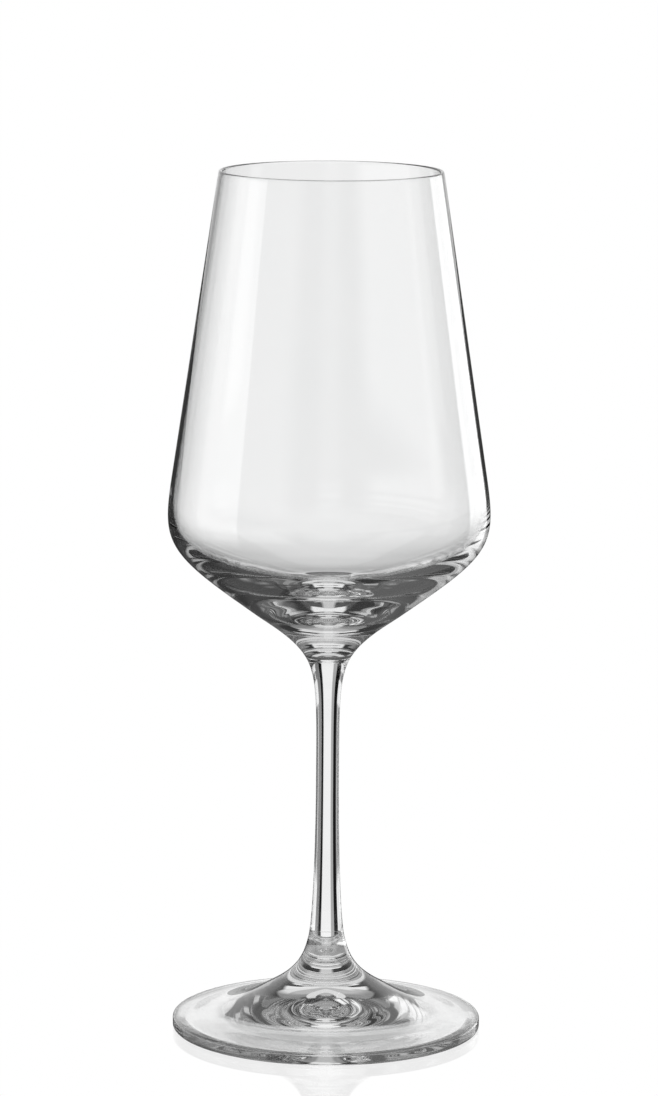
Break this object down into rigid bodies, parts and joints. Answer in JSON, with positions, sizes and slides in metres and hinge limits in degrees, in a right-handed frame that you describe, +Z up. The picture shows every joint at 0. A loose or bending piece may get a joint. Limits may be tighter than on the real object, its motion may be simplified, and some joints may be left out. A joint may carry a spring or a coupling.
{
  "type": "wine glass",
  "caption": "Stemmed wine glass in clear glass: tall bowl with straight tapered sides and a low angular belly, slim drawn stem, flat round foot.",
  "frame": {"origin": "centre of the ring that the foot stands on, at table height", "axes": "+Z up along the stem, from the foot to the rim; X and Y are equivalent, because the glass is round"},
  "size_m": [0.0852, 0.0852, 0.23],
  "materials": {
    "clear_glass": "clear, colourless, fire-polished and glossy"
  },
  "bodies": {
    "root": {"bowl": "clear_glass", "stem": "clear_glass", "foot": "clear_glass"}
  },
  "joints": []
}
